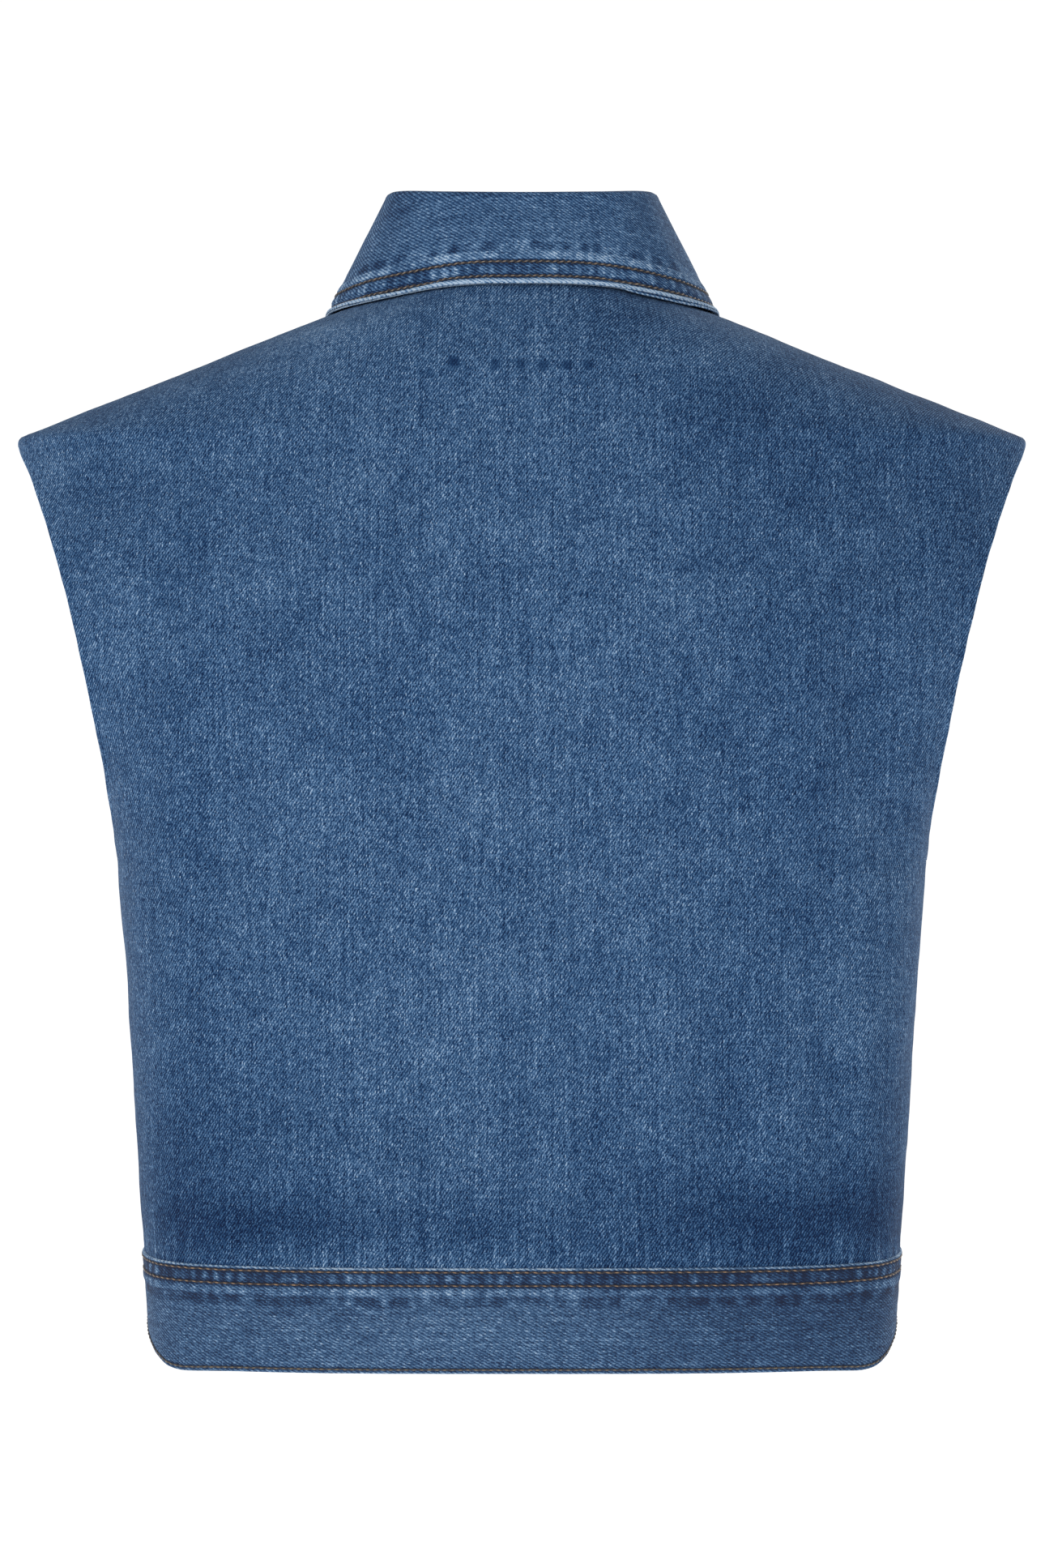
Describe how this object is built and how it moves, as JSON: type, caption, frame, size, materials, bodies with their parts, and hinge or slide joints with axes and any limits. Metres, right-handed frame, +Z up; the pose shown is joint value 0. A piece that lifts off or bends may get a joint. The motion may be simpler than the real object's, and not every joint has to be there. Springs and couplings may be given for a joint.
{
  "type": "denim vest",
  "caption": "Sleeveless cropped denim vest with a turned-down collar, wide straight shoulders, a button front and a hem band, in its worn shape.",
  "frame": {"origin": "midway between the two points where the shoulder seams meet the neckline, where the wearer's shoulders hold the vest up", "axes": "+Z up, the back faces +Y and the buttoned front faces -Y, +X is the wearer's left side"},
  "size_m": [0.492, 0.2219, 0.5653],
  "materials": {
    "denim_panel": "mid-blue washed cotton denim, right-hand twill",
    "denim_band": "mid-blue washed cotton denim cut across the grain, two plies",
    "denim_collar": "mid-blue washed cotton denim, two plies with topstitching",
    "button_metal": "aged copper-brass tack button"
  },
  "bodies": {
    "root": {"back": "denim_panel", "front_left": "denim_panel", "front_right": "denim_panel", "band_back": "denim_band", "band_left": "denim_band", "band_right": "denim_band", "collar": "denim_collar", "button_1": "button_metal", "button_2": "button_metal", "button_3": "button_metal", "button_4": "button_metal", "button_5": "button_metal", "button_6": "button_metal"}
  },
  "joints": []
}
